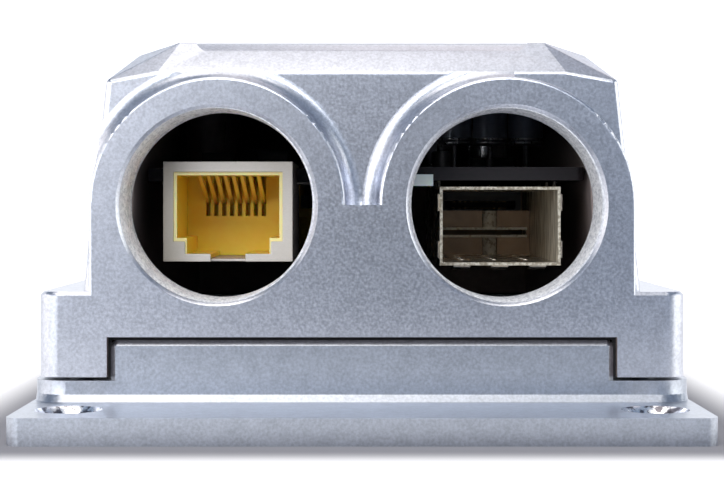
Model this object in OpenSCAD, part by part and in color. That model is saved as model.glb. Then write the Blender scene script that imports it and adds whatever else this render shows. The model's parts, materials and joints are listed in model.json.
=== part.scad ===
/* [Ports] */
// Distance between the axes of the two cable ports
port_pitch = 33.4; // [31:0.1:36]
// Height of the port axes above the ground
port_z = 25.6; // [25:0.1:30]
// Outer diameter of the port barrels
barrel_d = 29.6; // [27:0.1:31]
// Diameter of the port bores, the outer diameter of the gland thread
bore_d = 22.5; // [20:0.1:24]
// Length of the port bores
bore_l = 10; // [8:0.5:12]
// Width of the chamfer around the mouth of a bore
mouth = 0.4; // [0.2:0.1:0.8]
// Thickness of the boss around a bore behind the front wall
boss_wall = 2.2; // [1.5:0.1:3]
// Distance that the port face stands in front of the housing's wall
face_step = 2.8; // [2:0.1:4]
// Fillet at the foot of the barrels
barrel_foot = 1.9; // [1:0.1:2.2]
// Rounding of the port face's edge
face_edge = 0.4; // [0.2:0.1:0.8]

/* [Cover] */
// Distance of the housing's side walls outside the port barrels, at the rails
side_out = 1; // [0.5:0.1:4]
// Draft of the housing's side walls in degrees
side_draft = 6; // [3:0.5:8]
// Height of the front wall above the port barrels
crown = 0.7; // [0.3:0.1:6]
// Height of the sloping band along the front and rear of the top
bevel_h = 3.8; // [2.5:0.1:4.5]
// Width of the shallow slope on each side of the flat top
slope_w = 5; // [3:0.5:7]
// Height that the shallow slope loses
slope_h = 1.4; // [0.8:0.1:2]
// Height of the steep chamfer below the shallow slope
steep_h = 3.4; // [2:0.2:4.5]
// Depth of the hipped corners behind the front wall
corner_back = 5; // [4:0.5:8]
// Rounding of the housing's edges
edge_r = 0.8; // [0.4:0.1:1.2]
// Thickness of the housing's walls and roof
wall = 3; // [2:0.25:4]
// Width of the ramps at the front and rear of the top
ramp_w = 39.4; // [30:0.2:42]
// Height that the ramps lose
ramp_h = 1.25; // [0.6:0.05:1.6]
// Slope of the ramps in degrees
ramp_slope = 25; // [20:1:35]
// Radius of the ramps' lower corners
ramp_r = 2.2; // [1:0.2:4]
// Distance that the rails stand out beyond the housing's side walls
rail_out = 4.85; // [4:0.05:8]
// Height of the rails
rail_h = 9.8; // [8:0.2:13]
// Radius of the rails' upright corners
rail_r = 2.5; // [1:0.5:4]
// Width of the rails' feet beside the tongues
foot_w = 8; // [7:0.1:9]

/* [Base] */
// Thickness of the plate
plate_t = 3; // [2.5:0.5:5]
// Distance that the plate stands out beyond the rails
plate_out = 0.65; // [0.3:0.05:5]
// Radius of the plate's four upright corners
plate_r = 1.6; // [0.8:0.2:4]
// Length of each mounting ear in front of and behind the housing
ear_l = 16; // [12:1:22]
// Diameter of the mounting holes
mount_d = 4.5; // [3.5:0.1:5.5]
// Diameter of the countersink of the mounting holes
mount_sink_d = 7.5; // [6.5:0.1:9]
// Distance of the mounting holes from the side edges of the plate
mount_inset = 5.6; // [5:0.1:8]
// Height of the rim that stands on the plate
rim_h = 2.4; // [2:0.1:4]
// Radius of the rim's upright corners
rim_r = 4; // [2:0.5:6]
// Fillet between the rim and the plate
rim_foot = 0.8; // [0.4:0.1:1.2]
// Height of the tongues above the rim
tongue_h = 4.6; // [3:0.1:6]
// Thickness of the tongues along the housing
tongue_t = 5; // [4:0.5:6]
// Chamfer around the outer edge of the tongues
tongue_edge = 0.6; // [0.2:0.1:1]
// Radius of the tongues' upper corners
tongue_r = 0.8; // [0.7:0.1:2]
// Gap of the seam between cover and base, which the gasket fills
seam = 0.4; // [0.2:0.1:0.8]

/* [Board] */
// Thickness of the circuit board
board_t = 1.6; // [1:0.2:2]
// Height of the board's upper face above the port axes
board_rise = 4.6; // [4.4:0.1:5.2]
// Length of the board
board_l = 86; // [80:1:100]
// Gap between the board and the walls beside it
board_gap = 0.5; // [0.3:0.1:1]
// Gap between the rear of the bores and the faces of the two connectors
socket_gap = 0.5; // [0.3:0.1:1]
// Distance of the board's front edge behind the faces of the two connectors
board_back = 0.7; // [0.5:0.1:2]
// Depth by which the board is set back on both sides of the copper socket
board_recess = 9; // [4:0.5:10]
// Room between the board and the rear wall
rear_room = 7; // [3:0.5:12]
// Diameter of the posts under the roof that carry the board
post_d = 5.2; // [4.8:0.1:7]

/* [Copper socket] */
// Width of the shielded modular socket
jack_w = 15.65; // [15:0.05:16.4]
// Height of the socket
jack_h = 12.1; // [11.4:0.1:12.6]
// Length of the socket
jack_l = 21; // [18:0.5:24]
// Sideways distance of the socket from its port axis, towards the middle
jack_shift = 0.5; // [0:0.1:1]
// Height of the socket's centre below the port axis
jack_drop = 0.8; // [0.4:0.1:1.2]
// Width of the plug cavity
plug_w = 12.4; // [11.8:0.1:12.6]
// Height of the plug cavity
plug_h = 7.6; // [7:0.1:8]
// Depth of the plug cavity
plug_l = 14; // [12:0.5:15]
// Height of the socket above the plug cavity
plug_roof = 1.65; // [1.4:0.05:2]
// Width of the shoulder below the plug cavity
step_w = 10; // [9:0.1:10.4]
// Height of the shoulder above the foot of the socket
step_floor = 0.95; // [0.6:0.05:1.4]
// Width of the slot for the plug's latch
latch_w = 4.2; // [3.6:0.1:4.6]
// Width of the insert's rim that shows inside the shield's opening
insert_rim = 0.4; // [0.2:0.05:0.6]
// Spacing of the eight contacts
contact_pitch = 1.02; // [0.9:0.01:1.1]
// Width of a contact wire
contact_w = 0.45; // [0.3:0.05:0.5]
// Thickness of a contact wire
contact_t = 0.35; // [0.2:0.05:0.4]
// Distance that the contact wires reach down into the plug cavity
contact_reach = 3.3; // [2.8:0.1:4]
// Length of the contacts' tails behind the socket
contact_tail = 2.6; // [1.5:0.1:3]
// Length of the contacts' flat foot inside the socket
contact_foot = 1.6; // [1.2:0.1:2]
// Distance from the socket's rear to where the contacts reach the roof
contact_climb = 4; // [3:0.1:5]
// Distance from the socket's face to the bend of the contacts
contact_bend = 1.7; // [1.4:0.1:3]
// Distance the contact tips run in behind the plug cavity
contact_dip = 0.6; // [0.4:0.1:1]
// Depth of the comb's slots behind the plug cavity, where the contact tips run
comb_d = 2.2; // [1.2:0.1:2.6]
// Length of the comb's slots below the ends of the contacts
comb_room = 1.7; // [0.4:0.1:2]

/* [Fibre cage] */
// Width of the transceiver cage
cage_w = 14.6; // [14.2:0.1:15]
// Height of the cage
cage_h = 9.5; // [9:0.1:9.8]
// Length of the cage
cage_l = 48; // [46:0.5:50]
// Depth of the transceiver bay in front of the stop
bay_l = 36.5; // [34:0.5:38]
// Gap between the cage and the board
cage_gap = 0.8; // [0.4:0.1:1]
// Thickness of the sheet metal of the cage and of the socket's shield
sheet = 0.35; // [0.2:0.05:0.5]
// Distance that the spring fingers stand out around the cage's mouth
finger_out = 0.6; // [0.3:0.1:0.8]
// Width of a spring finger
finger_w = 2; // [1.4:0.1:2.4]
// Length of a spring finger
finger_l = 7.4; // [5:0.1:9]
// Distance of the spring fingers from the cage's mouth
finger_back = 0.25; // [0.1:0.05:0.6]
// Spacing of the spring fingers below the cage
finger_pitch = 4.6; // [3:0.1:5]
// Distance of the side fingers from the cage's middle height
finger_rise = 2.85; // [1.4:0.05:3]
// Width of the card connector
card_w = 11.6; // [11:0.1:12.4]
// Height of the card connector's slot below the board
card_drop = 3; // [2.6:0.1:3.4]
// Room between the transceiver's card and the stop wall
card_room = 0.8; // [0.6:0.1:1.2]
// Contact pitch of the card connector
card_pitch = 0.8; // [0.8:0.05:1]
// Height of the slot in the cage's stop above the cage's floor
stop_slot = 3.1; // [2:0.1:4]

/* [Chips] */
// Width of the converter chip's square package
chip_w = 14; // [10:0.5:15]
// Thickness of the converter chip
chip_t = 1.5; // [1:0.1:2]
// Spacing of the converter chip's leads
chip_pitch = 0.6; // [0.5:0.05:0.65]
// Gap between a package and the board
lead_gap = 0.1; // [0.05:0.05:0.2]
// Thickness of the heat pad on the converter chip
pad_t = 1; // [0.5:0.1:2]
// Width of the isolation block across its two rows of leads
iso_w = 9.4; // [8:0.2:11]
// Length of the isolation block along its rows of leads
iso_l = 13; // [12:0.2:14]
// Height of the isolation block
iso_h = 5.4; // [4:0.2:7]
// Width of the crystal's can
crystal_w = 3.7; // [3:0.1:5]
// Length of the crystal's can
crystal_l = 10.2; // [8:0.2:11]
// Height of the crystal's can
crystal_h = 3.4; // [2:0.1:4]

/* [Power supply] */
// Width of the transformer's core
core_w = 16; // [13:0.5:18]
// Depth of the transformer's core
core_d = 14; // [10:0.5:16]
// Height of the transformer's core
core_h = 10; // [8:0.5:12]
// Thickness of the core's outer legs
core_leg = 2.8; // [2:0.1:4]
// Thickness of the core's two yokes
core_yoke = 1.8; // [1.4:0.1:2.6]
// Diameter of the core's middle leg
core_pin = 5; // [4:0.2:6]
// Gap between the core and the board
core_gap = 1.6; // [1.2:0.1:3]
// Play of the coil in the core's window
coil_play = 0.1; // [0.05:0.05:0.3]
// Diameter of the can capacitors
cap_d = 6.3; // [5:0.1:6.6]
// Room between the can capacitors and the roof
cap_room = 4.1; // [2:0.1:8]
// Diameter of the three filter capacitors
tall_d = 4.9; // [4:0.1:5]
// Spacing of the filter capacitors
tall_pitch = 5.08; // [5.08:0.01:5.5]
// Height of the filter capacitors above the board, on their leads
tall_rise = 3.9; // [2:0.1:4.5]
// Room between the filter capacitors and the roof
tall_room = 2.4; // [2:0.1:4]
// Width of the inductor
choke_w = 10; // [7:0.5:11]
// Height of the inductor
choke_h = 4.2; // [3:0.1:6]
// Width of a rectifier's package
diode_w = 4.8; // [4:0.1:6]
// Length of a rectifier's package
diode_l = 5.6; // [4:0.1:6]
// Height of a rectifier's package
diode_h = 2.6; // [1.6:0.1:3]
// Width and length of the regulator's package
reg_w = 6.6; // [5:0.1:7]
// Height of the regulator's package
reg_h = 2.3; // [1.6:0.1:3]

/* [Fasteners] */
// Thread diameter of the screws that hold the cover
screw_d = 3; // [2.5:0.1:3.5]
// Length of the cover screws under the head
screw_l = 9.6; // [8:0.1:10.4]
// Head diameter of the cover screws
head_d = 5.5; // [5:0.1:5.8]
// Head height of the cover screws
head_h = 2.4; // [1.8:0.1:2.6]
// Distance of the cover screws from the ends of the housing
screw_inset = 8; // [6:0.5:12]
// Metal left above the cover screws' holes in the rails
tap_roof = 2; // [1.5:0.1:3]
// Room between the tip of a screw and the end of its hole
tip_room = 0.6; // [0.4:0.1:1]
// Thread diameter of the screws that hold the board
board_screw_d = 2.5; // [2:0.1:3]
// Length of the board screws under the head
board_screw_l = 6; // [5:0.5:8]
// Play around screws and in their holes
play = 0.2; // [0.1:0.05:0.3]

/* [Hidden] */
$fn = 48;
over = 1;

// Levels of the housing, from the ground up
barrel_r = barrel_d / 2;
bevel_z = port_z + barrel_r + crown;
body_h = bevel_z + bevel_h;
rim_z = plate_t + rim_h;
rail_z = rim_z + seam;
rail_top = rail_z + rail_h;
tongue_z = rim_z + tongue_h;
notch_z = tongue_z + seam;
shoulder_z = body_h - slope_h;
side_z = shoulder_z - steep_h;
roof_z = body_h - wall;

// Widths of the housing: the ports set it, and the rails and the plate follow
port_x = port_pitch / 2;
face_x = port_x + barrel_r;
body_w = 2 * (face_x + side_out);
side_x = body_w / 2 - (side_z - rail_top) * tan(side_draft);
steep_x = side_x - steep_h;
flat_x = steep_x - slope_w;
crest_x = (steep_x + flat_x) / 2;
inner_side = side_x - wall;
rail_w = body_w + 2 * rail_out;
tongue_w = rail_w - 2 * (foot_w + seam);
plate_w = rail_w + 2 * plate_out;

// Lengths of the housing: the board sets it
body_l = bore_l + socket_gap + board_back + board_l + rear_room + wall + face_step;
front_y = -body_l / 2;
wall_l = body_l - 2 * face_step;
plate_l = body_l + 2 * ear_l;

// Fixing points
mount_x = plate_w / 2 - mount_inset;
mount_y = plate_l / 2 - ear_l / 2;
screw_x = rail_w / 2 - foot_w / 2;
screw_y = body_l / 2 - screw_inset;
tap_l = rail_h - tap_roof;
seat_z = rail_z + tap_l - tip_room - screw_l;
screw_points = [for (sx = [-1, 1], sy = [-1, 1]) [sx * screw_x, sy * screw_y, 0]];
mount_points = [for (sx = [-1, 1], sy = [-1, 1]) [sx * mount_x, sy * mount_y, 0]];

// The board, the two connectors and the board's fixing points
board_top = port_z + board_rise;
board_low = board_top - board_t;
board_w = 2 * (inner_side + (side_z - board_top) * tan(side_draft / 2) - board_gap);
socket_y = front_y + bore_l + socket_gap;
board_y = socket_y + board_back;
board_rear = board_y + board_l;
jack_x = -port_x + jack_shift;
jack_low = port_z - jack_drop - jack_h / 2;
plug_top = jack_low + jack_h - plug_roof;
plug_low = plug_top - plug_h;
step_low = jack_low + step_floor;
cage_x = port_x;
cage_top = board_low - cage_gap;
cage_low = cage_top - cage_h;
stop_y = socket_y + bay_l;
card_front = 0.3;
card_rear = 2.4;
card_y = stop_y + sheet + card_front;
card_d = cage_l - bay_l - card_rear;
card_z = board_low - card_drop;
slot_z = cage_low + stop_slot;
post_in = 4;
post_rear = 6;
post_mid = 47;
post_front = 10;
post_x = board_w / 2 - post_in;
board_points = [[0, board_y + post_front], [-post_x, board_y + post_mid],
    [post_x, board_rear - post_rear], [-post_x, board_rear - post_rear]];

// Places of the parts on the board
chip_back = 58;
chip_x = 0;
chip_y = board_y + chip_back;
pad_top = board_top + lead_gap + chip_t + pad_t;
crystal_side = 12.5;
crystal_front = 3;
crystal_x = chip_x + crystal_side;
crystal_y = chip_y - crystal_front;
iso_back = 13.7;
iso_y = socket_y + jack_l + iso_back;
core_side = 6;
core_rear = 24;
core_x = -core_side;
core_y = board_rear - core_rear;
window_w = core_w - 2 * core_leg;
window_h = core_h - 2 * core_yoke;
cap_h = roof_z - board_top - cap_room;
cap_side = 3.3;
cap_rear = 12;
cap_points = [[cage_x - cap_d + 1, board_rear - cap_rear], [cage_x + cap_side, board_rear - cap_rear - 4]];
tall_back = 39;
tall_points = [for (i = [-1 : 1]) [cage_x + 1.6 + i * tall_pitch, board_y + tall_back]];
tall_z = board_top + tall_rise;
choke_in = 12;
choke_rear = 16;
choke_x = -board_w / 2 + choke_in;
choke_y = board_rear - choke_rear;
reg_back = 51;
reg_x = cage_x + 2.8;
reg_y = board_y + reg_back;

// ---------- shared forms ----------

// A rectangle with round corners, centred
module round_rect(w, l, r) {
    square([w - 2 * r, l], center = true);
    square([w, l - 2 * r], center = true);
    for (sx = [-1, 1], sy = [-1, 1])
        translate([sx * (w / 2 - r), sy * (l / 2 - r)]) circle(r);
}

// A block that is centred on x and y and stands on z
module block(size, at = [0, 0, 0]) {
    translate([at[0] - size[0] / 2, at[1] - size[1] / 2, at[2]]) cube(size);
}

// Turns a form that stands on z so that it runs back along y
module along_y() {
    rotate([-90, 0, 0]) children();
}

// A flat strip bent along the points of a path in the y-z plane, centred on x
module strip(path, w, t) {
    translate([-w / 2, 0, 0]) rotate([90, 0, 90]) linear_extrude(w) {
        for (i = [0 : len(path) - 2]) {
            a = path[i];
            run = path[i + 1] - a;
            translate(a) rotate(atan2(run[1], run[0])) translate([0, -t / 2]) square([norm(run), t]);
        }
        for (i = [1 : len(path) - 2]) translate(path[i]) circle(t / 2, $fn = 24);
    }
}

// The corners of a rectangle of half sizes hx and hy at the height z
function ring(hx, hy, z) = [for (sx = [-1, 1], sy = [-1, 1]) [sx * hx, sy * hy, z]];

// ---------- cover ----------

// The drafted housing with its bevelled front and rear and its sloping shoulders
module housing_form() {
    low_x = body_w / 2 + over * tan(side_draft);
    e = edge_r;
    corners = concat(
        ring(low_x - e, wall_l / 2 - e, rail_top - over),
        ring(side_x - e, wall_l / 2 - e, side_z - e / 2),
        ring(crest_x - e / 2, wall_l / 2 - e, bevel_z - e / 2),
        ring(steep_x - e / 2, wall_l / 2 - corner_back, shoulder_z - e),
        ring(flat_x, wall_l / 2 - bevel_h - e / 2, body_h - e));
    hull() for (p = corners) translate(p) sphere(e, $fn = 24);
}

// What is cut away above the ramp at the front of the top
module ramp_cut() {
    run = ramp_h / tan(ramp_slope) + 2 * ramp_r + over;
    translate([0, -wall_l / 2 + bevel_h - ramp_h, body_h - ramp_h]) rotate([ramp_slope, 0, 0])
        linear_extrude(wall) translate([0, run / 2]) round_rect(ramp_w, run, ramp_r);
}

// The rails along the foot, with a small chamfer on their upper edge
module rail_form() {
    c = face_edge;
    translate([0, 0, rail_z]) linear_extrude(rail_h - c) round_rect(rail_w, body_l, rail_r);
    hull() {
        translate([0, 0, rail_top - c - 0.01])
            linear_extrude(0.01) round_rect(rail_w, body_l, rail_r, $fn = 32);
        translate([0, 0, rail_top - 0.01])
            linear_extrude(0.01) round_rect(rail_w - 2 * c, body_l - 2 * c, rail_r - c, $fn = 32);
    }
}

// Half the section of a barrel: flat face with a rounded edge
module barrel_section() {
    translate([0, face_edge]) square([barrel_r, face_step + wall - face_edge]);
    square([barrel_r - face_edge, face_edge + 0.01]);
    translate([barrel_r - face_edge, face_edge]) circle(face_edge, $fn = 32);
}

// Half the section of the hollow fillet around the foot of a barrel
module foot_section() {
    difference() {
        translate([barrel_r - 0.01, face_step - barrel_foot]) square(barrel_foot);
        translate([barrel_r + barrel_foot, face_step - barrel_foot]) circle(barrel_foot);
    }
}

// The outline of the housing's front wall, swept forward to the port face
module front_prism() {
    half = [[body_w / 2, rail_top - over], [side_x, side_z], [crest_x, bevel_z]];
    outline = concat([for (p = half) p], [for (i = [2 : -1 : 0]) [-half[i][0], half[i][1]]]);
    translate([0, front_y + face_step + wall, 0]) rotate([90, 0, 0])
        linear_extrude(face_step + wall) polygon(outline);
}

// The port face: two barrels that stand on one plate above the rails
module port_face() {
    for (s = [-1, 1])
        translate([s * port_x, front_y, port_z])
            along_y() rotate_extrude($fn = 96) barrel_section();
    depth = face_step + wall;
    web = port_x - barrel_r;
    translate([0, 0, rail_top - over]) linear_extrude(port_z - rail_top + over) {
        translate([-face_x, front_y + face_edge]) square([2 * face_x, depth - face_edge]);
        translate([-face_x + face_edge, front_y]) square([2 * (face_x - face_edge), depth]);
        for (s = [-1, 1])
            translate([s * (face_x - face_edge), front_y + face_edge]) circle(face_edge, $fn = 32);
    }
    intersection() {
        front_prism();
        union() {
            for (s = [-1, 1])
                translate([s * port_x, front_y, port_z])
                    along_y() rotate_extrude($fn = 96) foot_section();
            translate([-web - 0.5, front_y + face_step - barrel_foot, port_z - 0.01]) difference() {
                cube([2 * web + 1, barrel_foot, barrel_foot]);
                translate([-over, 0, barrel_foot]) rotate([0, 90, 0])
                    cylinder(r = barrel_foot, h = 2 * web + 3);
            }
        }
    }
}

// The room inside the cover, open at the foot
module cover_room() {
    inner_l = wall_l / 2 - wall;
    low_x = inner_side + (side_z - rail_z) * tan(side_draft / 2);
    corners = concat(
        ring(low_x, inner_l, rail_z - over),
        ring(inner_side, inner_l, side_z - over),
        ring(crest_x - wall, inner_l, bevel_z - wall / 2),
        ring(steep_x - wall / 2, inner_l - corner_back + wall, roof_z - slope_h),
        ring(flat_x, inner_l - bevel_h, roof_z));
    hull() for (p = corners) translate(p) cylinder(r = 0.01, h = 0.01, $fn = 8);
}

// What hangs from the roof or stands behind the front wall inside the cover
module cover_inside() {
    for (s = [-1, 1])
        translate([s * port_x, front_y + face_step, port_z])
            along_y() cylinder(d = bore_d + 2 * boss_wall, h = bore_l - face_step, $fn = 96);
    for (p = board_points)
        translate([p[0], p[1], board_top])
            cylinder(d1 = post_d, d2 = post_d + 1.2, h = roof_z - board_top + over);
    block([chip_w, chip_w, roof_z - pad_top + over], [chip_x, chip_y, pad_top]);
}

module cover() {
    color([0.72, 0.74, 0.77]) difference() {
        union() {
            rail_form();
            port_face();
            housing_form();
        }
        for (a = [0, 180]) rotate(a) ramp_cut();
        difference() {
            cover_room();
            cover_inside();
        }
        block([tongue_w + 2 * seam, body_l + 2 * over, notch_z - rail_z + over], [0, 0, rail_z - over]);
        for (s = [-1, 1]) translate([s * port_x, front_y, port_z]) along_y() {
            translate([0, 0, -over]) cylinder(d = bore_d, h = bore_l + over, $fn = 96);
            translate([0, 0, -0.01])
                cylinder(r1 = bore_d / 2 + mouth + 0.01, r2 = bore_d / 2, h = mouth + 0.01, $fn = 96);
        }
        for (p = screw_points)
            translate([p[0], p[1], rail_z - over]) cylinder(d = screw_d, h = tap_l + over);
        for (p = board_points)
            translate([p[0], p[1], board_top - over])
                cylinder(d = board_screw_d, h = board_screw_l - board_t + tip_room + over);
    }
}

// ---------- base and seal ----------

// A tongue at one end of the base, with a chamfered outer edge
module tongue() {
    upright = tongue_z - plate_t;
    translate([0, front_y + tongue_edge, plate_t]) rotate([90, 0, 0]) {
        translate([0, 0, -(tongue_t - tongue_edge)]) linear_extrude(tongue_t - tongue_edge) {
            translate([-tongue_w / 2, 0]) square([tongue_w, upright - tongue_r]);
            translate([-tongue_w / 2 + tongue_r, 0]) square([tongue_w - 2 * tongue_r, upright]);
            for (s = [-1, 1]) translate([s * (tongue_w / 2 - tongue_r), upright - tongue_r]) circle(tongue_r);
        }
        hull() for (s = [-1, 1]) {
            translate([s * (tongue_w / 2 - tongue_r), upright - tongue_r, 0])
                cylinder(r1 = tongue_r, r2 = tongue_r - tongue_edge, h = tongue_edge, $fn = 32);
            translate([s * (tongue_w / 2 - tongue_r), tongue_r, 0])
                cylinder(r1 = tongue_r, r2 = tongue_r - tongue_edge, h = tongue_edge, $fn = 32);
        }
    }
}

module base() {
    color([0.7, 0.72, 0.75]) difference() {
        union() {
            linear_extrude(plate_t) round_rect(plate_w, plate_l, plate_r);
            linear_extrude(rim_z) round_rect(plate_w, body_l, rim_r);
            hull() {
                linear_extrude(plate_t) round_rect(plate_w, body_l + 2 * rim_foot, rim_r, $fn = 32);
                linear_extrude(plate_t + rim_foot) round_rect(plate_w, body_l, rim_r, $fn = 32);
            }
            tongue();
            mirror([0, 1, 0]) tongue();
        }
        block([tongue_w - 2 * wall, body_l - 2 * tongue_t, rim_z], [0, 0, plate_t]);
        for (p = mount_points) translate(p) {
            translate([0, 0, -over]) cylinder(d = mount_d, h = plate_t + 2 * over);
            translate([0, 0, plate_t - (mount_sink_d - mount_d) / 2])
                cylinder(d1 = mount_d, d2 = mount_sink_d + 0.02, h = (mount_sink_d - mount_d) / 2 + 0.01);
        }
        for (p = screw_points) translate(p) {
            translate([0, 0, -over]) cylinder(d = screw_d + 2 * play, h = rim_z + 2 * over);
            translate([0, 0, -over]) cylinder(d = head_d + 2 * play, h = seat_z + over);
        }
    }
}

// The moulded seal that follows the seam: along both rims and over both tongues
module gasket() {
    seal_w = 1.8;
    seal_in = 1.4;
    inner_x = tongue_w / 2;
    end_y = body_l / 2 - seal_in;
    color([0.06, 0.06, 0.07]) {
        for (s = [-1, 1])
            block([seal_w, 2 * end_y, seam], [s * (inner_x + seam + seal_w / 2), 0, rim_z]);
        for (s = [-1, 1], e = [-1, 1]) {
            y = e * (end_y - seal_w / 2);
            block([seam, seal_w, tongue_h + seam], [s * (inner_x + seam / 2), y, rim_z]);
            block([inner_x + seam / 2, seal_w, seam], [s * (inner_x + seam / 2) / 2, y, tongue_z]);
        }
    }
}

// A cheese-head screw with a cross slot, head down at z = 0 and shank up
module head_screw(d, l, hd, hh) {
    slot_l = 0.6;
    slot_w = 0.16;
    slot_h = 0.55;
    difference() {
        union() {
            translate([0, 0, -hh]) cylinder(d = hd, h = hh);
            cylinder(d = d - play / 5, h = l);
        }
        for (a = [0, 90])
            rotate(a) translate([0, 0, -hh - 0.01]) block([hd * slot_l, hd * slot_w, hh * slot_h]);
    }
}

module cover_screws() {
    color([0.55, 0.55, 0.57])
        for (p = screw_points) translate([p[0], p[1], seat_z]) head_screw(screw_d, screw_l, head_d, head_h);
}

// ---------- board ----------

module board() {
    corner_r = 1;
    recess_side = 3;
    notch_w = jack_w + 2 * play;
    notch_l = jack_l - board_back + play;
    recess_w = board_w / 2 + jack_x + notch_w / 2 + recess_side;
    color([0.05, 0.1, 0.08]) difference() {
        translate([0, (board_y + board_rear) / 2, board_low])
            linear_extrude(board_t) round_rect(board_w, board_l, corner_r);
        block([notch_w, 2 * notch_l, board_t + 2 * over], [jack_x, board_y, board_low - over]);
        translate([-board_w / 2 - over, board_y - over, board_low - over])
            cube([recess_w + over, board_recess + over, board_t + 2 * over]);
        for (p = board_points)
            translate([p[0], p[1], board_low - over])
                cylinder(d = board_screw_d + 2 * play, h = board_t + 2 * over);
    }
}

module board_screws() {
    board_head_d = board_screw_d * 1.8;
    board_head_h = board_screw_d * 0.6;
    color([0.6, 0.6, 0.62])
        for (p = board_points)
            translate([p[0], p[1], board_low])
                head_screw(board_screw_d, board_screw_l, board_head_d, board_head_h);
}

// ---------- copper socket ----------

// The outline of the plug opening: body, shoulder and latch slot
module plug_outline(grow) {
    translate([-plug_w / 2 - grow, plug_low - grow]) square([plug_w + 2 * grow, plug_h + 2 * grow]);
    translate([-step_w / 2 - grow / 2, step_low]) square([step_w + grow, plug_low - step_low]);
    translate([-latch_w / 2, jack_low + sheet]) square([latch_w, step_low - jack_low]);
}

module plug_prism(grow, l) {
    rotate([90, 0, 0]) translate([0, 0, -l]) linear_extrude(l + over) plug_outline(grow);
}

module socket_shield() {
    tab_w = 1.6;
    tab_l = 4;
    tab_back = 6;
    window_w = 8 * contact_pitch + 1;
    window_drop = 1.5;
    color([0.78, 0.78, 0.76]) translate([jack_x, socket_y, 0]) {
        difference() {
            block([jack_w, jack_l, jack_h], [0, jack_l / 2, jack_low]);
            block([jack_w - 2 * sheet, jack_l, jack_h - 2 * sheet],
                [0, jack_l / 2 + sheet, jack_low + sheet]);
            plug_prism(insert_rim, sheet + over);
            block([latch_w, 2 * over, 2 * over], [0, 0, jack_low - over]);
            block([window_w, 2 * over, 2 * window_drop], [0, jack_l, board_low - window_drop]);
        }
        for (s = [-1, 1])
            block([tab_w, tab_l, sheet],
                [s * (jack_w / 2 + tab_w / 2 - 0.01), jack_l - tab_back, board_low - sheet]);
    }
}

// The path of one contact: tail on the board, run under the roof, spring back into the plug cavity
contact_path = [
    [jack_l + contact_tail, board_low - contact_t / 2],
    [jack_l - contact_foot, board_low - contact_t / 2],
    [jack_l - contact_climb, plug_top + contact_t / 2],
    [contact_bend, plug_top + contact_t / 2],
    [plug_l + contact_dip, plug_top - contact_reach]];

module contacts(w, t) {
    for (i = [0 : 7]) translate([(i - 3.5) * contact_pitch, 0, 0]) strip(contact_path, w, t);
}

module socket_insert() {
    gap = 0.05;
    groove = 0.1;
    w = jack_w - 2 * sheet - 2 * gap;
    h = jack_h - 2 * sheet - 2 * gap;
    l = jack_l - 2 * sheet;
    comb_h = contact_reach + comb_room;
    color([0.85, 0.6, 0.12]) translate([jack_x, socket_y, 0]) difference() {
        block([w, l, h], [0, sheet + l / 2, jack_low + sheet + gap]);
        plug_prism(0, plug_l);
        contacts(contact_w + 2 * groove, contact_t + 2 * groove);
        for (i = [0 : 7])
            block([contact_w + groove, comb_d, comb_h],
                [(i - 3.5) * contact_pitch, plug_l + comb_d / 2 - 0.01, plug_top - comb_h]);
    }
}

module socket_contacts() {
    color([0.85, 0.68, 0.3]) translate([jack_x, socket_y, 0]) contacts(contact_w, contact_t);
}

// ---------- fibre cage ----------

// A row of small press-in feet between cage and board
module cage_feet() {
    first = 6;
    step = 9;
    l = 1.2;
    for (s = [-1, 1], y = [first : step : cage_l])
        block([sheet, l, cage_gap + sheet], [s * (cage_w - sheet) / 2, y, cage_top - sheet]);
}

// The three-cornered latch window and the rows of round vents in the cage's floor
module cage_openings() {
    latch_y = 2;
    latch_half = 1.6;
    latch_l = 2.6;
    vent_d = 1.6;
    vent_x = 4;
    vent_y = 11;
    vent_step = 6;
    translate([0, latch_y, cage_low - over]) linear_extrude(2 * over)
        polygon([[-latch_half, 0], [latch_half, 0], [0, latch_l]]);
    for (x = [-vent_x, 0, vent_x], y = [vent_y : vent_step : bay_l - vent_x])
        translate([x, y, cage_low - over]) cylinder(d = vent_d, h = 2 * over, $fn = 24);
}

// The wall at the end of the bay, with a lipped slot across it and two half-round ribs
module stop_wall(inner_w) {
    slot_h = 0.7;
    slot_side = 0.5;
    lip = 0.9;
    lip_side = 0.4;
    rib_x = 1.3;
    rib_r = 1.2;
    rib_in = 0.6;
    top = card_z - card_room;
    difference() {
        block([inner_w + 0.02, sheet, top - cage_low], [0, bay_l + sheet / 2, cage_low]);
        block([inner_w - 2 * slot_side, 2 * over, slot_h], [0, bay_l, slot_z]);
    }
    for (z = [slot_z - sheet, slot_z + slot_h])
        block([inner_w - 2 * lip_side, lip, sheet], [0, bay_l - lip / 2 + 0.02, z]);
    rib_z = [[cage_low + 0.01, slot_z - sheet + 0.01], [slot_z + slot_h + sheet - 0.01, top]];
    for (r = rib_z) translate([rib_x, bay_l, r[0]])
        intersection() {
            translate([0, rib_in, 0]) cylinder(r = rib_r, h = r[1] - r[0]);
            block([2 * rib_r, 2 * rib_in, r[1] - r[0]], [0, -rib_in + 0.02, 0]);
        }
}

module fibre_cage() {
    inner_w = cage_w - 2 * sheet;
    card_side = 0.5;
    color([0.75, 0.72, 0.65]) translate([cage_x, socket_y, 0]) {
        difference() {
            block([cage_w, cage_l, cage_h], [0, cage_l / 2, cage_low]);
            block([inner_w, cage_l, cage_h - 2 * sheet], [0, cage_l / 2 - sheet, cage_low + sheet]);
            block([card_w + 2 * card_side, cage_l - bay_l, 3 * over],
                [0, (bay_l + cage_l) / 2 + card_side, cage_top - over]);
            cage_openings();
        }
        cage_feet();
        stop_wall(inner_w);
    }
}

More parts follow.
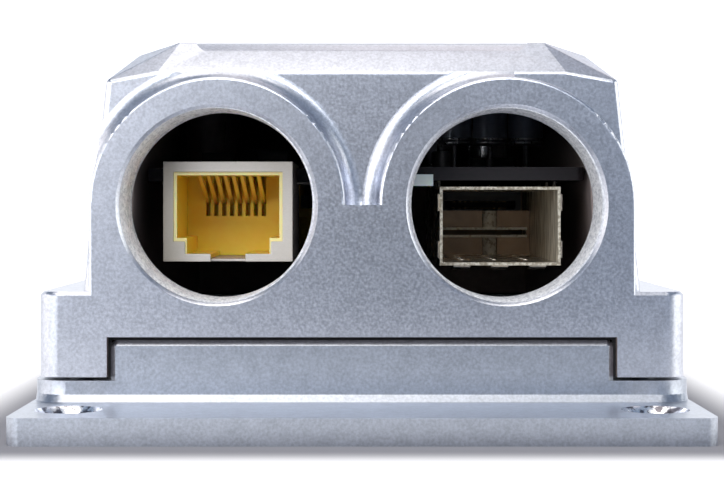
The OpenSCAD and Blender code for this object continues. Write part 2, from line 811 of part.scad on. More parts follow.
module cage_fingers() {
    half_w = cage_w / 2;
    half_h = cage_h / 2;
    color([0.8, 0.77, 0.7]) translate([cage_x, socket_y + finger_back, cage_low + half_h]) {
        for (s = [-1, 1], z = [-finger_rise, finger_rise])
            rotate([0, 0, s < 0 ? 180 : 0]) mirror([0, s < 0 ? 1 : 0, 0])
                translate([half_w, 0, z]) side_finger();
        for (i = [-1 : 1])
            translate([i * finger_pitch, 0, -half_h]) rotate([0, 90, 0]) side_finger();
    }
}

// A finger on a face that looks along +x, starting at the mouth and running back along +y
module side_finger() {
    t = sheet * 0.6;
    crest = finger_l * 0.35;
    heel = finger_l * 0.73;
    points = [[finger_back, t / 2], [crest, finger_out - t / 2], [heel, t / 2], [finger_l, t / 2]];
    translate([0, 0, -finger_w / 2]) linear_extrude(finger_w) mirror([1, 0]) rotate(90) {
        for (i = [0 : len(points) - 2]) {
            run = points[i + 1] - points[i];
            translate(points[i]) rotate(atan2(run[1], run[0]))
                translate([0, -t / 2]) square([norm(run), t]);
        }
        for (i = [1 : 2]) translate(points[i]) circle(t / 2, $fn = 24);
    }
}

// The card-edge connector at the end of the bay
module card_connector() {
    lower = 1.9;
    shell = 0.8;
    back = 1.4;
    mouth_h = 1.2;
    groove = 0.5;
    color([0.05, 0.05, 0.06]) translate([cage_x, card_y, 0]) difference() {
        block([card_w, card_d, board_low - card_z + lower], [0, card_d / 2, card_z - lower]);
        block([card_w - 2 * shell, card_d - back, mouth_h],
            [0, (card_d - back) / 2 - 0.01, card_z - mouth_h / 2]);
        for (i = [0 : 9])
            block([groove, card_d + 2 * over, groove],
                [(i - 4.5) * card_pitch, card_d / 2, board_low - groove]);
    }
}

module card_contacts() {
    w = 0.35;
    blade_t = 0.15;
    blade_room = 3;
    blade_in = 1;
    apart = 0.45;
    tail_t = 0.3;
    tail_out = 1.2;
    blade_l = card_d - blade_room;
    color([0.85, 0.7, 0.35]) translate([cage_x, card_y, 0])
        for (i = [0 : 9]) translate([(i - 4.5) * card_pitch, 0, 0]) {
            for (s = [-1, 1])
                block([w, blade_l, blade_t], [0, blade_l / 2 + blade_in, card_z + s * apart - blade_t / 2]);
            block([w, card_d + tail_out, tail_t], [0, card_d / 2, board_low - tail_t]);
        }
}

// ---------- parts on the board ----------

// Gull-wing leads along one side that looks along +x, their feet at z = 0
module lead_row(count, pitch, lead_w, body_x, reach, rise, t) {
    knee = body_x + reach * 0.4;
    foot = body_x + reach * 0.55;
    for (i = [0 : count - 1])
        translate([0, (i - (count - 1) / 2) * pitch, 0]) rotate(90)
            strip([[-body_x, rise], [-knee, rise], [-foot, t / 2], [-body_x - reach, t / 2]], lead_w, t);
}

// A moulded package with slightly drafted sides, standing at z
module package(size, at) {
    lip = 0.15;
    r = 0.3;
    half = size[2] / 2;
    translate([at[0], at[1], at[2]]) {
        linear_extrude(half) round_rect(size[0], size[1], r, $fn = 24);
        translate([0, 0, half - 0.01]) linear_extrude(half + 0.01)
            round_rect(size[0] - 2 * lip, size[1] - 2 * lip, r, $fn = 24);
    }
}

module converter_chip() {
    color([0.08, 0.08, 0.09]) package([chip_w, chip_w, chip_t], [chip_x, chip_y, board_top + lead_gap]);
}

module chip_pins() {
    count = 20;
    w = 0.25;
    t = 0.18;
    reach = 1.3;
    rise = lead_gap + 0.6;
    color([0.75, 0.75, 0.76]) translate([chip_x, chip_y, board_top])
        for (a = [0 : 90 : 270]) rotate(a) lead_row(count, chip_pitch, w, chip_w / 2, reach, rise, t);
}

module thermal_pad() {
    inset = 1;
    w = chip_w - 2 * inset;
    color([0.55, 0.6, 0.7]) block([w, w, pad_t], [chip_x, chip_y, pad_top - pad_t]);
}

module isolation_block() {
    color([0.07, 0.07, 0.08]) translate([jack_x, iso_y, board_low]) mirror([0, 0, 1])
        package([iso_w, iso_l, iso_h], [0, 0, lead_gap]);
}

module isolation_pins() {
    count = 8;
    pitch = 1.27;
    w = 0.45;
    t = 0.25;
    reach = 1.6;
    rise = lead_gap + 1.2;
    color([0.75, 0.75, 0.76]) translate([jack_x, iso_y, board_low]) mirror([0, 0, 1])
        for (a = [0, 180]) rotate(a) lead_row(count, pitch, w, iso_w / 2, reach, rise, t);
}

// A ferrite core of two E halves around the coil
module transformer_core() {
    joint = 0.1;
    color([0.2, 0.2, 0.21]) translate([core_x, core_y, board_low - core_gap]) mirror([0, 0, 1]) {
        difference() {
            block([core_w, core_d, core_h]);
            block([window_w, core_d + 2 * over, window_h], [0, 0, core_yoke]);
        }
        translate([0, 0, core_yoke - joint]) cylinder(d = core_pin, h = window_h + 2 * joint);
    }
}

// The wound bobbin, with the feet that carry the transformer on the board
module transformer_coil() {
    coil_low = core_gap + core_yoke + coil_play;
    tab = 4;
    tab_h = 1.2;
    tab_out = 1.6;
    tab_side = 0.3;
    lead = 0.7;
    lead_out = 1.4;
    lead_pitch = window_w * 0.23;
    tab_y = core_d / 2 + tab_out - tab / 2;
    color([0.85, 0.7, 0.2]) translate([core_x, core_y, board_low]) mirror([0, 0, 1]) {
        translate([0, 0, coil_low]) difference() {
            cylinder(d = window_w - 2 * coil_play, h = window_h - 2 * coil_play);
            translate([0, 0, -over]) cylinder(d = core_pin + 2 * coil_play, h = window_h + 2 * over);
        }
        for (s = [-1, 1]) {
            block([window_w - 2 * tab_side, tab, tab_h], [0, s * tab_y, coil_low + 0.1]);
            for (i = [-1.5 : 1.5])
                block([lead, lead, coil_low + 0.11], [i * lead_pitch, s * (tab_y + lead_out), 0]);
        }
    }
}

module can_capacitors() {
    foot = 0.2;
    foot_h = 0.8;
    crimp_z = 1.6;
    crimp_h = 0.6;
    crimp_d = 0.25;
    top_r = 0.4;
    r = cap_d / 2;
    color([0.8, 0.81, 0.82]) for (p = cap_points) translate([p[0], p[1], board_top]) {
        block([cap_d + 2 * foot, cap_d + 2 * foot, foot_h]);
        rotate_extrude() {
            square([r, crimp_z]);
            square([r - crimp_d, crimp_z + crimp_h]);
            translate([0, crimp_z + crimp_h - 0.2]) square([r, cap_h - top_r - crimp_z - crimp_h + 0.2]);
            square([r - top_r, cap_h]);
            translate([r - top_r, cap_h - top_r]) circle(top_r, $fn = 24);
        }
    }
}

// Three sleeved capacitors that stand side by side on their leads, each with a rolled lower rim
module filter_capacitors() {
    roll = 0.35;
    lead_d = 0.6;
    lead_side = 1;
    tall_h = roof_z - tall_room - tall_z;
    edge = tall_d / 2 - roll;
    color([0.3, 0.32, 0.36]) for (p = tall_points) translate([p[0], p[1], tall_z]) {
        rotate_extrude() {
            square([edge, tall_h]);
            translate([edge - 0.01, roll]) circle(roll, $fn = 24);
            translate([0, 3 * roll]) square([tall_d / 2, tall_h - 4 * roll]);
            translate([edge, tall_h - roll]) circle(roll, $fn = 24);
        }
        for (s = [-1, 1])
            translate([0, s * lead_side, -tall_rise]) cylinder(d = lead_d, h = tall_rise + roll, $fn = 24);
    }
}

module power_inductor() {
    groove = 0.5;
    flange = 0.7;
    corner_r = 2;
    pad = [3, 1.4, 0.4];
    pad_out = 0.6;
    color([0.22, 0.22, 0.23]) translate([choke_x, choke_y, board_top]) {
        difference() {
            linear_extrude(choke_h) round_rect(choke_w, choke_w, corner_r);
            translate([0, 0, flange]) rotate_extrude()
                translate([choke_w / 2 - 2 * groove, 0]) square([groove, choke_h - 2 * flange]);
        }
        for (s = [-1, 1]) block(pad, [0, s * (choke_w / 2 + pad_out), 0]);
    }
}

module rectifiers() {
    apart = 1.4;
    lead = [0.8, 1.6, lead_gap + 0.5];
    lead_out = 0.4;
    color([0.1, 0.1, 0.11])
        for (sx = [-1, 1]) translate([jack_x + sx * (diode_w / 2 + apart), iso_y, board_top]) {
            package([diode_w, diode_l, diode_h], [0, 0, lead_gap]);
            for (s = [-1, 1], e = [-1, 1]) block(lead, [e * apart, s * (diode_l / 2 + lead_out), 0]);
        }
}

module regulator() {
    reg_l = reg_w - 0.4;
    lead = [0.8, 2.8, lead_gap + 0.5];
    lead_x = 2.3;
    lead_out = 1.1;
    tab = [reg_w - 1.2, 1.6, lead_gap + 0.5];
    tab_out = 0.4;
    color([0.1, 0.1, 0.11]) translate([reg_x, reg_y, board_top]) {
        package([reg_w, reg_l, reg_h], [0, 0, lead_gap]);
        for (s = [-1, 1]) block(lead, [s * lead_x, -reg_l / 2 - lead_out, 0]);
        block(tab, [0, reg_l / 2 + tab_out, 0]);
    }
}

module crystal() {
    rim = 0.45;
    rim_t = 0.6;
    r = crystal_w / 2 - 0.1;
    color([0.82, 0.83, 0.84]) translate([crystal_x, crystal_y, board_top]) {
        linear_extrude(rim_t) round_rect(crystal_w + 2 * rim, crystal_l + 2 * rim, r + rim);
        linear_extrude(crystal_h) round_rect(crystal_w, crystal_l, r);
    }
}

// Small resistors and capacitors: beside the converter chip, and below the board beside the isolation block
module chip_parts() {
    size = [0.8, 1.6, 0.7];
    pitch = 1.9;
    chip_side = 4;
    iso_side = 2;
    color([0.62, 0.52, 0.4])
        for (s = [-1, 1], i = [-3 : 3]) {
            block(size, [chip_x + i * pitch, chip_y + s * (chip_w / 2 + chip_side), board_top]);
            block(size, [jack_x + i * pitch, iso_y + s * (iso_l / 2 + iso_side), board_low - size[2]]);
        }
}

// The side-looking lamp on the front edge of the board, between the two ports
module status_lamp() {
    size = [2.4, 0.8, 1.4];
    side = 2;
    color([0.86, 0.92, 0.84])
        block(size, [cage_x - cage_w / 2 - side, board_y - size[1] / 2, board_low - size[2] / 2]);
}

cover();
base();
gasket();
cover_screws();
board();
board_screws();
socket_shield();
socket_insert();
socket_contacts();
fibre_cage();
cage_fingers();
card_connector();
card_contacts();
isolation_block();
isolation_pins();
converter_chip();
chip_pins();
thermal_pad();
transformer_core();
transformer_coil();
can_capacitors();
filter_capacitors();
power_inductor();
rectifiers();
regulator();
crystal();
chip_parts();
status_lamp();
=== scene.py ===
import json
import math

import bpy
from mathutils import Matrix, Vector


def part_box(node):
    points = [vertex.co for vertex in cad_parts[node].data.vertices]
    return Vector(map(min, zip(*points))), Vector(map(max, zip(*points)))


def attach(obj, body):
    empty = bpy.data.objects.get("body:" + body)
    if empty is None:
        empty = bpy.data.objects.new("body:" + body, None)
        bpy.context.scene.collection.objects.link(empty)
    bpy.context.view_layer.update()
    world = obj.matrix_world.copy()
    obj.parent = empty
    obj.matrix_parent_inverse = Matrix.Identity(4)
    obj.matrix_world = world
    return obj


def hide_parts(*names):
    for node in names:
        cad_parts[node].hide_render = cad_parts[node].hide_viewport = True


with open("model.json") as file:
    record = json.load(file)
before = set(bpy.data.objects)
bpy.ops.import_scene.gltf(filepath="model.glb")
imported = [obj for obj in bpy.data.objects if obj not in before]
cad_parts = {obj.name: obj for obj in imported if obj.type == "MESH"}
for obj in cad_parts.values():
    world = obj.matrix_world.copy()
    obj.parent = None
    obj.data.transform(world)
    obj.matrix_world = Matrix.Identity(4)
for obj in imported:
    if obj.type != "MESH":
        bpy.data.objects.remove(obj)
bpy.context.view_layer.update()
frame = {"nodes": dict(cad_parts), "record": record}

MM = 0.001


# ---------------------------------------------------------------- studio
# A table and a white backdrop, with soft boxes on both sides, overhead and in front, and a bluish room light.
# The camera stands level with the two ports, 205 mm in front of them. The table's paper is dark grey near the
# base and fades to a white of its own with the distance from it, so the dark ring round the base is painted
# shadow over the shadow that the lamps cast.

def deselect():
    for thing in bpy.context.selected_objects:
        thing.select_set(False)


def take_up(thing):
    """Makes one object the selected and active one."""
    deselect()
    thing.select_set(True)
    bpy.context.view_layer.objects.active = thing


cover_low, cover_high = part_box("cover")
ports = {mount["name"]: mount for mount in frame["record"]["mounts"] if mount["kind"] == "threaded_hole"}
port_z = ports["copper_port"]["pos_m"][2]
face_y = cover_low[1]

camera_data = bpy.data.cameras.new("camera")
camera = bpy.data.objects.new("camera", camera_data)
bpy.context.scene.collection.objects.link(camera)
camera.location = (0, face_y - 205 * MM, port_z)
camera.rotation_euler = (math.radians(90), 0, 0)
camera_data.lens = 88.7
camera_data.shift_y = -0.0622
camera_data.clip_start = 0.01
bpy.context.scene.camera = camera


def soft_lamp(name, place, aim, size, power, colour=(1, 1, 1)):
    """A soft box of that width and height that looks at a point."""
    data = bpy.data.lights.new(name, "AREA")
    data.shape = "RECTANGLE"
    data.size, data.size_y = size
    data.energy = power
    data.color = colour
    lamp = bpy.data.objects.new(name, data)
    bpy.context.scene.collection.objects.link(lamp)
    lamp.location = place
    run = [a - p for a, p in zip(aim, place)]
    flat = math.hypot(run[0], run[1])
    lamp.rotation_euler = (math.atan2(flat, -run[2]), 0, math.atan2(run[1], run[0]) - math.pi / 2)
    return lamp


lit_spot = (0, -0.05, 0.03)
soft_lamp("left_box", (-0.55, -0.08, 0.14), lit_spot, (0.60, 0.35), 1.2, (1.0, 0.92, 0.84))
soft_lamp("left_near", (-0.38, -0.50, 0.16), lit_spot, (0.35, 0.35), 1.10)
soft_lamp("left_front", (-0.20, -0.62, 0.20), lit_spot, (0.15, 0.35), 0.42, (1.0, 0.95, 0.89))
soft_lamp("right_box", (0.55, -0.10, 0.14), lit_spot, (0.60, 0.35), 1.40, (1.0, 0.98, 0.90))
soft_lamp("right_front", (0.24, -0.58, 0.20), lit_spot, (0.2, 0.35), 0.05)
soft_lamp("top_front", (-0.05, -0.30, 0.7), lit_spot, (0.6, 0.35), 1.62, (1.0, 0.94, 0.85))
soft_lamp("top_mid", (-0.1, 0.01, 0.8), lit_spot, (0.6, 0.35), 0.98, (1.0, 0.92, 0.84))
soft_lamp("top_back", (0.20, 0.40, 0.65), lit_spot, (0.6, 0.35), 0.55, (1.0, 0.83, 0.72))
soft_lamp("front_high", (0, -0.62, 0.38), lit_spot, (0.35, 0.2), 1.60, (0.95, 0.97, 1.0))

world = bpy.data.worlds.new("studio")
bpy.context.scene.world = world
world.use_nodes = True
world.node_tree.nodes["Background"].inputs["Color"].default_value = (0.54, 0.71, 1.0, 1)
world.node_tree.nodes["Background"].inputs["Strength"].default_value = 0.36
bpy.context.scene.view_settings.view_transform = "Standard"


class Value:
    """A shader socket that can stand in a Python expression."""

    def __init__(self, finish, socket):
        self.finish = finish
        self.socket = socket

    def _math(self, operation, *terms):
        return self.finish.node("ShaderNodeMath", {"operation": operation}, dict(enumerate(terms)))

    def __add__(self, other):
        return self._math("ADD", self, other)

    def __sub__(self, other):
        return self._math("SUBTRACT", self, other)

    def __rsub__(self, other):
        return self._math("SUBTRACT", other, self)

    def __mul__(self, other):
        return self._math("MULTIPLY", self, other)

    __radd__ = __add__
    __rmul__ = __mul__

    def larger(self, other):
        return self._math("MAXIMUM", self, other)

    def above(self, edge, width):
        """0 below the edge and 1 above it, over a soft step of that width."""
        return self.finish.node("ShaderNodeMapRange", {"interpolation_type": "SMOOTHSTEP"},
                                {"Value": self, "From Min": edge - width / 2, "From Max": edge + width / 2})


class Finish:
    """A procedural material round one Principled shader, on the piece's own Object coordinates."""

    def __init__(self, name, **fixed):
        self.material = bpy.data.materials.new(name)
        self.material.use_nodes = True
        self.tree = self.material.node_tree
        self.shader = self.tree.nodes["Principled BSDF"]
        self.output = self.tree.nodes["Material Output"]
        self.place = self.node("ShaderNodeTexCoord", {}, {}, "Object")
        for key, value in fixed.items():
            self.feed(self.shader.inputs[key.replace("_", " ").title().replace("Ior", "IOR")], value)

    def feed(self, socket, value):
        if isinstance(value, Value):
            self.tree.links.new(value.socket, socket)
        elif isinstance(value, tuple) and len(value) == 3 and socket.type == "RGBA":
            socket.default_value = (*value, 1)
        else:
            socket.default_value = value

    def node(self, kind, settings, inputs, output=0):
        """Adds a node: its settings first, then the values or links of its sockets."""
        made = self.tree.nodes.new(kind)
        for key, value in settings.items():
            if key == "stops":
                ramp = made.color_ramp.elements
                while len(ramp) < len(value):
                    ramp.new(0.5)
                for element, (at, colour) in zip(ramp, value):
                    element.position = at
                    element.color = (*colour, 1)
            else:
                setattr(made, key, value)
        for key, value in inputs.items():
            self.feed(made.inputs[key], value)
        return Value(self, made.outputs[output])

    def vector(self, operation, *terms, output="Vector"):
        """A step of vector arithmetic on sockets or fixed vectors."""
        return self.node("ShaderNodeVectorMath", {"operation": operation}, dict(enumerate(terms)), output)

    def noise(self, size, detail=2.0, roughness=0.5, stretch=(1, 1, 1), offset=(0, 0, 0)):
        """Noise whose patches are about that size, in metres."""
        moved = self.node("ShaderNodeMapping", {},
                          {"Vector": self.place, "Scale": stretch, "Location": offset})
        return self.node("ShaderNodeTexNoise", {},
                         {"Vector": moved, "Scale": 1 / size, "Detail": detail, "Roughness": roughness})

    def mix(self, factor, first, second):
        """A colour between two others."""
        return self.node("ShaderNodeMix", {"data_type": "RGBA"}, {0: factor, 6: first, 7: second}, 2)

    def bump(self, height, depth, strength=1.0):
        """Feeds a height of 0 to 1 to the shader as a relief of that depth, in metres."""
        raised = self.node("ShaderNodeBump", {}, {"Height": height, "Distance": depth, "Strength": strength})
        self.set(Normal=raised)

    def set(self, **values):
        for key, value in values.items():
            self.feed(self.shader.inputs[key.replace("_", " ")], value)

    def give(self, *things):
        """Makes this the only finish of each piece."""
        for thing in things:
            thing.data.materials.clear()
            thing.data.materials.append(self.material)


def seen_directly(finish):
    """1 for what the camera sees straight on, in a mirror or through a clear piece, and 0 for stray light."""
    rays = [finish.node("ShaderNodeLightPath", {}, {}, name)
            for name in ("Is Camera Ray", "Is Glossy Ray", "Is Transmission Ray")]
    return rays[0].larger(rays[1]).larger(rays[2])


def stage_plane(name, finish, low, high, upright_at=None):
    """A flat sheet of the studio between two corners, lying on the table or upright at that y."""
    bpy.ops.mesh.primitive_plane_add(size=1)
    sheet = bpy.context.object
    sheet.name = name
    for vertex in sheet.data.vertices:
        across = low[0] if vertex.co.x < 0 else high[0]
        along = low[1] if vertex.co.y < 0 else high[1]
        vertex.co = (across, along, 0) if upright_at is None else (across, upright_at, along)
    finish.give(sheet)
    return sheet


base_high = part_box("base")[1]
painted_shadow_middle = 9.25 * MM
painted_shadow_fade = 11.5 * MM
# Painted shadow: the paper is dark grey near the base and glows white from about 3.5 mm to 15 mm out, with
# the lamps' cast shadow inside the ring.
table_paper = Finish("table_paper", base_color=(0.25, 0.245, 0.265), roughness=0.9)
outside = table_paper.vector("ABSOLUTE", table_paper.place)
outside = table_paper.vector("SUBTRACT", outside, (base_high.x, base_high.y, 1))
outside = table_paper.vector("MAXIMUM", outside, (0, 0, 0))
beyond = table_paper.vector("LENGTH", outside, output="Value")
whitened = table_paper.mix(beyond.above(painted_shadow_middle, painted_shadow_fade), (0, 0, 0), (1, 1, 1))
table_paper.set(**{"Emission Color": whitened, "Emission Strength": seen_directly(table_paper)})
stage_plane("table", table_paper, (-1.5, -0.11), (1.5, 1.0))

back_paper = Finish("back_paper", base_color=(0.8, 0.8, 0.8), roughness=0.9)
back_paper.set(**{"Emission Color": (1, 1, 1), "Emission Strength": seen_directly(back_paper)})
stage_plane("backdrop", back_paper, (-1.5, 0), (1.5, 1.0), upright_at=1.0)

black_card = Finish("black_card", base_color=(0.01, 0.01, 0.01), roughness=0.9)
stage_plane("black_card", black_card, (-0.03, 0.0), (0.055, 0.065), upright_at=camera.location.y - 10 * MM)


# ---------------------------------------------------------------- cover
# The die-cast aluminium housing, blasted and coated in a fine speckled silver, with its inside left raw and
# its bores cut. Its edges are rounded a quarter of a millimetre, which catches light along ports and rails.

def rounded_copy(node, name, radius, angle=32, segments=2):
    """A copy of a CAD node with its sharp edges rounded, which stands for the node."""
    source = frame["nodes"][node]
    copy = bpy.data.objects.new(name, source.data.copy())
    bpy.context.scene.collection.objects.link(copy)
    take_up(copy)
    bpy.ops.object.mode_set(mode="EDIT")
    bpy.ops.mesh.select_all(action="SELECT")
    bpy.ops.mesh.remove_doubles(threshold=1e-6)
    bpy.ops.mesh.dissolve_limited(angle_limit=math.radians(0.6))
    bpy.ops.object.mode_set(mode="OBJECT")
    edge = copy.modifiers.new("edge", "BEVEL")
    edge.width = radius
    edge.segments = segments
    edge.limit_method = "ANGLE"
    edge.angle_limit = math.radians(angle)
    bpy.ops.object.modifier_apply(modifier="edge")
    bpy.ops.object.shade_smooth_by_angle(angle=math.radians(angle))
    even = copy.modifiers.new("even", "WEIGHTED_NORMAL")
    even.keep_sharp = True
    even.weight = 100
    bpy.ops.object.modifier_apply(modifier="even")
    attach(copy, "root")
    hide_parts(node)
    return copy


def cast_finish(name, tone):
    """Blasted and coated aluminium: a fine speckle in colour, gloss and relief."""
    cast = Finish(name, metallic=1.0)
    grain = cast.noise(0.35 * MM, detail=3.0, roughness=0.65)
    cloud = cast.noise(1.6 * MM, detail=2.0)
    dark = tuple(channel * 0.80 for channel in tone)
    light = tuple(min(channel * 1.18, 1) for channel in tone)
    fleck = (grain * 0.75 + cloud * 0.25).above(0.5, 0.5)
    cast.set(**{"Base Color": cast.mix(fleck, dark, light)})
    cast.set(Roughness=0.25 + grain * 0.14)
    cast.bump(grain, 0.05 * MM, 0.15)
    return cast


def refinish(piece, finish, belongs):
    """Gives a second finish to the faces that a test of their middle and normal picks out."""
    piece.data.materials.append(finish.material)
    last = len(piece.data.materials) - 1
    for face in piece.data.polygons:
        if belongs(face.center, face.normal):
            face.material_index = last


def beside(middle, mount):
    """How far a face's middle is from the axis of a port."""
    x, y, z = mount["pos_m"]
    return math.hypot(middle.x - x, middle.z - z)


cover = rounded_copy("cover", "cast_cover", 0.25 * MM)
cover_finish = cast_finish("cast_cover", (0.59, 0.61, 0.67))
cover_finish.give(cover)

raw_metal = Finish("raw_metal", metallic=0.3)
raw_skin = raw_metal.noise(0.8 * MM, detail=3.0)
raw_metal.set(**{"Base Color": raw_metal.mix(raw_skin, (0.26, 0.21, 0.20), (0.40, 0.33, 0.31))})
raw_metal.set(Roughness=0.45 + raw_skin * 0.2)
refinish(cover, raw_metal, lambda middle, normal: (
    abs(middle.x) < cover_high.x - 7.5 * MM and abs(middle.y) < cover_high.y - 4 * MM
    and middle.z < cover_high.z - 2.6 * MM and not (abs(middle.x) > 28 * MM and normal.x * middle.x > 0)
    and normal.z < 0.1))

cut_metal = Finish("cut_metal", metallic=0.35)
cut_marks = cut_metal.noise(0.5 * MM, detail=4.0, roughness=0.7)
cut_metal.set(**{"Base Color": cut_metal.mix(cut_marks.above(0.48, 0.3),
                                             (0.62, 0.63, 0.66), (0.97, 0.97, 0.98))})
cut_metal.set(Roughness=0.30 + cut_marks * 0.25)
cut_metal.bump(cut_marks, 0.08 * MM, 0.3)
groove = Finish("thread_groove", metallic=0.15)
groove_marks = groove.noise(0.5 * MM, detail=3.0, stretch=(0.3, 3, 0.3))
groove.set(**{"Base Color": groove.mix(groove_marks.above(0.45, 0.2),
                                       (0.80, 0.80, 0.82), (0.98, 0.98, 0.99))})
groove.set(Roughness=0.42 + groove_marks * 0.2)
for port in ports.values():
    refinish(cover, groove, lambda middle, normal: (
        middle.y < port["pos_m"][1] + port["dims"]["length_mm"] * MM / 2 + 0.2 * MM and abs(normal.y) < 0.3
        and beside(middle, port) < (port["dims"]["r_mm"] + 0.6) * MM))


# ---------------------------------------------------------------- foot of the right port
# The hollow fillet at the foot of the right port's barrel, on the side of the notch, the twin of the left one
# in the solids. It is part of the same casting as the cover and carries the same coat.

barrel_r = 14.8 * MM
foot_r = 1.9 * MM
floor_y = face_y + 2.8 * MM
sunk = 0.3 * MM


def hollow(steps=12):
    """The fillet's section: how far out from the barrel's wall and how far back each point lies."""
    turns = [math.pi / 2 * step / steps for step in range(steps + 1)]
    arc = [(foot_r - foot_r * math.cos(turn), floor_y - foot_r + foot_r * math.sin(turn)) for turn in turns]
    return arc + [(foot_r, floor_y + sunk), (-sunk, floor_y + sunk), (-sunk, floor_y - foot_r)]


def outline(name, points):
    """A closed loop of edges through those points."""
    bpy.ops.mesh.primitive_circle_add(vertices=len(points), radius=1, fill_type="NOTHING")
    loop = bpy.context.object
    loop.name = name
    for vertex, point in zip(loop.data.vertices, points):
        vertex.co = point
    return loop


def drawn_out(name, points, run):
    """A closed block: the loop filled and drawn out along a straight run."""
    block = outline(name, points)
    take_up(block)
    bpy.ops.object.mode_set(mode="EDIT")
    bpy.ops.mesh.select_all(action="SELECT")
    bpy.ops.mesh.edge_face_add()
    bpy.ops.mesh.extrude_region_move(TRANSFORM_OT_translate={"value": run})
    bpy.ops.mesh.select_all(action="SELECT")
    bpy.ops.mesh.normals_make_consistent(inside=False)
    bpy.ops.object.mode_set(mode="OBJECT")
    return block


def cut_down(piece, cutter):
    """Keeps what lies inside the cutter and clears the cutter away."""
    take_up(piece)
    cut = piece.modifiers.new("cut", "BOOLEAN")
    cut.operation = "INTERSECT"
    cut.object = cutter
    bpy.ops.object.modifier_apply(modifier="cut")
    bpy.data.objects.remove(cutter)


port_x = ports["fibre_port"]["pos_m"][0]
foot = outline("right_port_foot", [(barrel_r + out, along, 0) for out, along in hollow()])
take_up(foot)
sweep = foot.modifiers.new("sweep", "SCREW")
sweep.axis = "Y"
sweep.steps = 96
sweep.render_steps = 96
sweep.use_merge_vertices = True
sweep.merge_threshold = 1e-6
bpy.ops.object.modifier_apply(modifier="sweep")
bpy.ops.object.mode_set(mode="EDIT")
bpy.ops.mesh.select_all(action="SELECT")
bpy.ops.mesh.normals_make_consistent(inside=False)
bpy.ops.transform.translate(value=(port_x, 0, port_z))
bpy.ops.object.mode_set(mode="OBJECT")
crest_z = 41.08 * MM
far_x = port_x + 1 * MM
low_z = port_z - sunk
inner_side = [(0, low_z), (far_x, low_z), (far_x, crest_z), (0, crest_z)]
cut_down(foot, drawn_out("inner_side", [(x, floor_y - 5 * MM, z) for x, z in inner_side], (0, 8 * MM, 0)))

take_up(foot)
bpy.ops.object.shade_smooth_by_angle(angle=math.radians(32))
cover_finish.give(foot)
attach(foot, "root")


# ---------------------------------------------------------------- port threads
# The gland thread cut in each port, 18 turns to the inch. The bore's wall is at the thread's outer diameter,
# and the ridge of the thread winds along it.

def port_thread(name, mount):
    """One wound ridge, from a three-cornered section swept by a screw and trimmed to the bore."""
    pitch = 25.4 * MM / 18
    depth = 0.24 * MM
    radius = mount["dims"]["r_mm"] * MM
    x, y, z = mount["pos_m"]
    start = face_y + 0.4 * MM
    length = 9.4 * MM
    bpy.ops.mesh.primitive_circle_add(vertices=3, radius=1, fill_type="NOTHING")
    ridge = bpy.context.object
    ridge.name = name
    section = [(radius + 0.03 * MM, -pitch * 0.36), (radius + 0.03 * MM, pitch * 0.36), (radius - depth, 0)]
    for vertex, (out, along) in zip(ridge.data.vertices, section):
        vertex.co = (out, along + start - pitch, 0)
    wind = ridge.modifiers.new("wind", "SCREW")
    wind.axis = "Y"
    wind.screw_offset = pitch
    wind.iterations = int(length / pitch) + 3
    wind.steps = 96
    wind.render_steps = 96
    wind.use_merge_vertices = False
    bpy.ops.object.modifier_apply(modifier="wind")
    bpy.ops.object.mode_set(mode="EDIT")
    bpy.ops.mesh.select_all(action="SELECT")
    bpy.ops.mesh.fill_holes(sides=3)
    bpy.ops.mesh.select_all(action="SELECT")
    bpy.ops.mesh.normals_make_consistent(inside=False)
    bpy.ops.object.mode_set(mode="OBJECT")
    bpy.ops.mesh.primitive_cylinder_add(vertices=96, radius=radius + 1 * MM, depth=length,
                                        location=(0, start + length / 2, 0), rotation=(math.pi / 2, 0, 0))
    trimmer = bpy.context.object
    take_up(ridge)
    trim = ridge.modifiers.new("trim", "BOOLEAN")
    trim.operation = "INTERSECT"
    trim.object = trimmer
    bpy.ops.object.modifier_apply(modifier="trim")
    bpy.data.objects.remove(trimmer)
    take_up(ridge)
    bpy.ops.object.mode_set(mode="EDIT")
    bpy.ops.mesh.select_all(action="SELECT")
    bpy.ops.transform.translate(value=(x, 0, z))
    bpy.ops.object.mode_set(mode="OBJECT")
    bpy.ops.object.shade_smooth_by_angle(angle=math.radians(30))
    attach(ridge, "root")
    return ridge


cut_metal.give(*[port_thread(port_name + "_thread", port) for port_name, port in ports.items()])


# ---------------------------------------------------------------- base
# The second die casting: the plate with its two ears, the rim and the two tongues. It has the cover's coat, a
# shade darker, with the mounting holes' countersinks turned bright under painted glints and dark reflections,
# and the inside left raw.

hole_pattern = [mount for mount in frame["record"]["mounts"] if mount["name"] == "mounting_holes"][0]
mount_x = hole_pattern["dims"]["spacing_x_mm"] * MM / 2
mount_y = hole_pattern["dims"]["spacing_y_mm"] * MM / 2
base = rounded_copy("base", "cast_base", 0.3 * MM)
cast_finish("cast_base", (0.47, 0.50, 0.56)).give(base)
hole_places = [(sx * mount_x, sy * mount_y) for sx in (-1, 1) for sy in (-1, 1)]
refinish(base, raw_metal, lambda middle, normal: (
    abs(middle.x) < base_high.x - 11 * MM and abs(middle.y) < cover_high.y - 6 * MM and middle.z > 2 * MM))
# Painted glints and dark reflections: the countersinks carry sharp near-black and near-white patches.
turned = Finish("turned_metal", metallic=1.0)
turning_and_glints = turned.noise(0.9 * MM, detail=2.0)
turned.set(**{"Base Color": turned.mix(turning_and_glints.above(0.5, 0.12),
                                       (0.20, 0.19, 0.21), (0.96, 0.96, 0.98))})
turned.set(Roughness=0.12 + turning_and_glints * 0.15)
refinish(base, turned, lambda middle, normal: abs(normal.z) < 0.99 and min(
    math.hypot(middle.x - x, middle.y - y) for x, y in hole_places) < 3.8 * MM)


# ---------------------------------------------------------------- seal and screws
# The moulded black seal in the seam between the castings, and the zinc plated screws: four that come up
# through the base into the cover, and four that hold the board under the roof.

